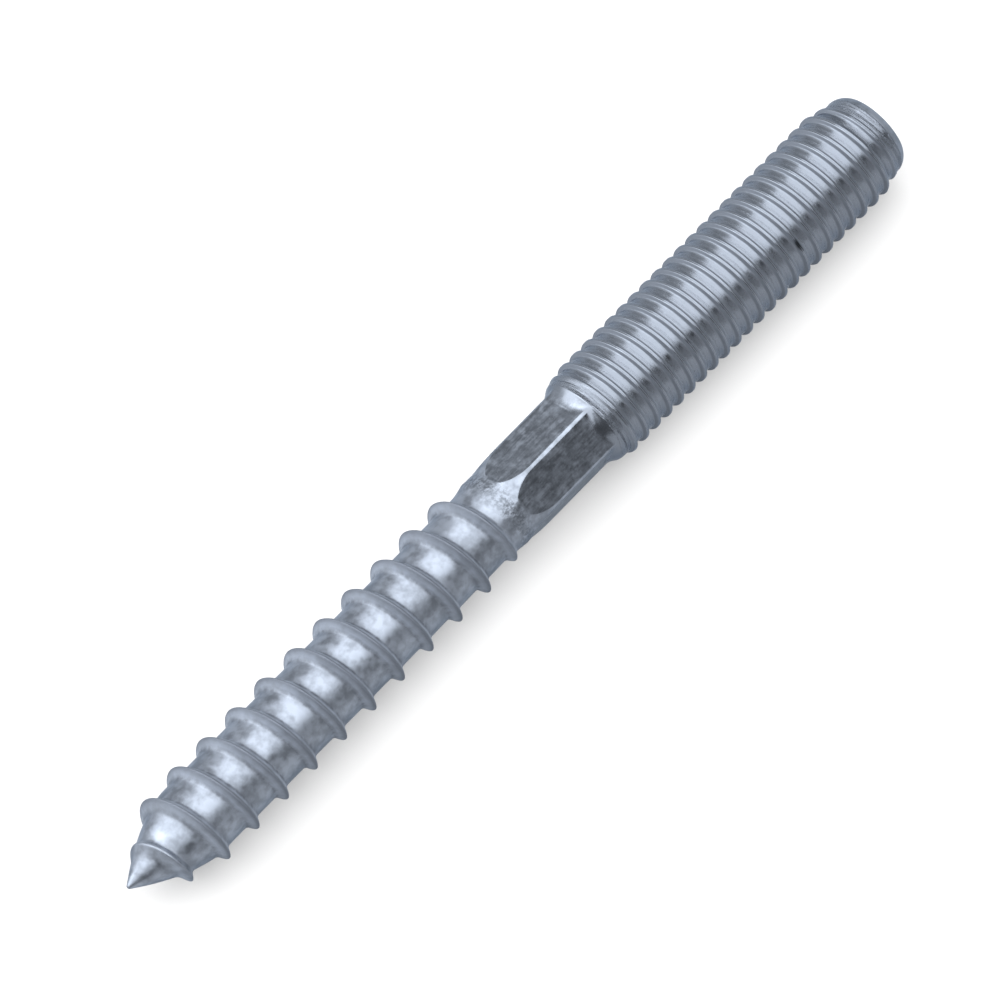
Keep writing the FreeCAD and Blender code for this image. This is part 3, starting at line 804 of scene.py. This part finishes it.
faint_lines, deep_lines = 0.1, 4.0
grain_relief, cloud_relief, flat_relief, buckle_relief = 0.4, 0.8, 0.9, 1.5
relief_height = 0.000022
line_relief = steel.ranged(steel.marked("rolled"), (0.0, 1.0), (faint_lines, deep_lines))
height = steel.add(
    steel.times(rolling, line_relief), steel.times(grain, grain_relief),
    steel.times(clouds, cloud_relief), steel.times(steel.times(mottled, pressed), flat_relief),
    steel.times(steel.times(flecks, buckled_skin), buckle_relief))
bump = steel.node("ShaderNodeBump")
bump.inputs["Strength"].default_value = 1.0
bump.inputs["Distance"].default_value = relief_height
steel.feed(bump.inputs["Height"], height)
steel.feed(shader.inputs["Normal"], bump.outputs["Normal"])

bolt.data.materials.append(zinc_plated)
print("material:", bolt.data.materials[0].name, "of", len(zinc_plated.node_tree.nodes), "nodes")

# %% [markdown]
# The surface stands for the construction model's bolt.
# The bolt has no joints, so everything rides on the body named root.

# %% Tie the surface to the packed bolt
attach(bolt, "root")
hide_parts("hanger_bolt")

# %% [markdown]
# The bolt lies on a pale floor. White paint would wash out the bolt's soft shadow under so bright a
# lamp. So the paint is grey and takes the shadow, and to the camera and in reflections the floor is
# lifted to nearly white by a little light of its own.

# %% Floor
floor_reach = 0.8
floor_grey = 0.385
floor_lift = 0.295


def pale_floor(reach):
    """A level square that reaches as far as this to each side of the origin."""
    signs = [(-1, -1), (1, -1), (1, 1), (-1, 1)]
    mesh = bpy.data.meshes.new("floor")
    mesh.from_pydata([(x * reach, y * reach, 0.0) for x, y in signs], [], [(0, 1, 2, 3)])
    floor = bpy.data.objects.new("floor", mesh)
    bpy.context.collection.objects.link(floor)
    return floor


def floor_paint():
    """Matt grey + lift x (seen by the camera + seen in a reflection + seen through a piece)."""
    material = bpy.data.materials.new("pale_floor")
    material.use_nodes = True
    paint = Wiring(material.node_tree)
    inputs = material.node_tree.nodes["Principled BSDF"].inputs
    inputs["Base Color"].default_value = (floor_grey, floor_grey, floor_grey, 1.0)
    inputs["Roughness"].default_value = 1.0
    inputs["Specular IOR Level"].default_value = 0.0
    inputs["Emission Color"].default_value = (1.0, 1.0, 1.0, 1.0)
    ray = paint.node("ShaderNodeLightPath").outputs
    seen = paint.add(ray["Is Camera Ray"], ray["Is Glossy Ray"], ray["Is Transmission Ray"])
    paint.feed(inputs["Emission Strength"], paint.times(seen, floor_lift))
    return material


floor = pale_floor(floor_reach)
floor.data.materials.append(floor_paint())
print("floor:", floor.dimensions[:])

# %% [markdown]
# Soft studio light. One large lamp hangs level over the bolt. The room is brighter behind the bolt
# and beyond its point, darker low in front of its point, and darkest in a small patch above its
# front. A metal shows its surroundings, so these differences give the bright band along the top of
# the bolt and the dark line below it. A photographed room would bring lights of its own, and a few
# smooth stretches are easier to place.

# %% World
room_brightness = 0.75
room_stretches = [
    ((0.334, -0.66, 0.673), (0.942, 0.98), 0.04),
    ((-0.72, 0.45, 0.52), (0.7, 0.92), 3.2),
    ((-0.7, -0.65, 0.3), (0.7, 0.92), 0.4),
    ((-0.25, 0.85, 0.46), (0.75, 0.95), 2.2)]


def studio_world(level, stretches):
    """A plain grey room with soft stretches of another brightness: level x change x change. Each
    stretch has a direction, the cosines of the angles from it where it begins and where it is full,
    and its brightness compared with the room's."""
    world = bpy.data.worlds.new("studio")
    bpy.context.scene.world = world
    world.use_nodes = True
    room = Wiring(world.node_tree)
    looking = room.node("ShaderNodeTexCoord").outputs["Generated"]
    strength = level
    for direction, reach, share in stretches:
        toward = room.node("ShaderNodeVectorMath", operation="DOT_PRODUCT")
        toward.inputs[1].default_value = Vector(direction).normalized()
        room.feed(toward.inputs[0], looking)
        change = room.ranged(toward.outputs["Value"], reach, (1.0, share), "SMOOTHSTEP")
        strength = room.times(strength, change)
    background = world.node_tree.nodes["Background"].inputs
    room.feed(background["Strength"], strength)
    background["Color"].default_value = (1.0, 1.0, 1.0, 1.0)


studio_world(room_brightness, room_stretches)
print("world:", bpy.context.scene.world.name, "with", len(room_stretches), "stretches")

# %% [markdown]
# The lamp is large and near, so that its shadows are soft and the bolt shows it as a broad band.

# %% Lamp
panel_place = (0.1, 0.0, 0.6)
panel_width, panel_depth = 1.3, 1.06
panel_brightness = 3.1


def soft_panel(name, place, width, depth, brightness):
    """A level rectangular lamp that shines down. Its power is brightness x pi x its area."""
    lamp = bpy.data.lights.new(name, "AREA")
    lamp.shape = "RECTANGLE"
    lamp.size = width
    lamp.size_y = depth
    lamp.energy = brightness * np.pi * width * depth
    holder = bpy.data.objects.new(name, lamp)
    holder.location = place
    bpy.context.collection.objects.link(holder)
    return holder


panel = soft_panel("overhead_panel", panel_place, panel_width, panel_depth, panel_brightness)
print("lamp:", panel.name, "with", round(panel.data.energy, 2), "W")

# %% [markdown]
# The camera looks down on the bolt from 0.8 m away with a long lens, turned so that the bolt runs
# from the lower left corner of the picture to the upper right. Its place, turn and lens were fitted
# to where the ends, crests and edges of the bolt lie in the photograph.

# %% Camera
aim_point = Vector((-0.195, 0.389, 4.093)) * MM
to_camera = Vector((-0.3338, -0.2949, 0.8953)).normalized()
picture_right = Vector((0.6601, -0.7512, -0.0013)).normalized()
camera_distance = 0.8
lens_mm = 408.6
sensor_mm = 36.0

picture_up = to_camera.cross(picture_right)
view = bpy.data.cameras.new("camera")
view.lens = lens_mm
view.sensor_width = sensor_mm
view.clip_end = 10.0
camera = bpy.data.objects.new("camera", view)
turned = Matrix((picture_right, picture_up, to_camera)).transposed().to_4x4()
camera.matrix_world = Matrix.Translation(aim_point + to_camera * camera_distance) @ turned
bpy.context.collection.objects.link(camera)
bpy.context.scene.camera = camera
bpy.context.scene.view_settings.view_transform = "Standard"
print("camera at", tuple(round(value, 4) for value in camera.matrix_world.translation))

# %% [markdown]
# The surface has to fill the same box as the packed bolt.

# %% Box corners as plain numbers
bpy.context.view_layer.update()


def plain(box):
    """The two corners as lists of plain numbers, which json can write."""
    return [[float(value) for value in corner] for corner in box]
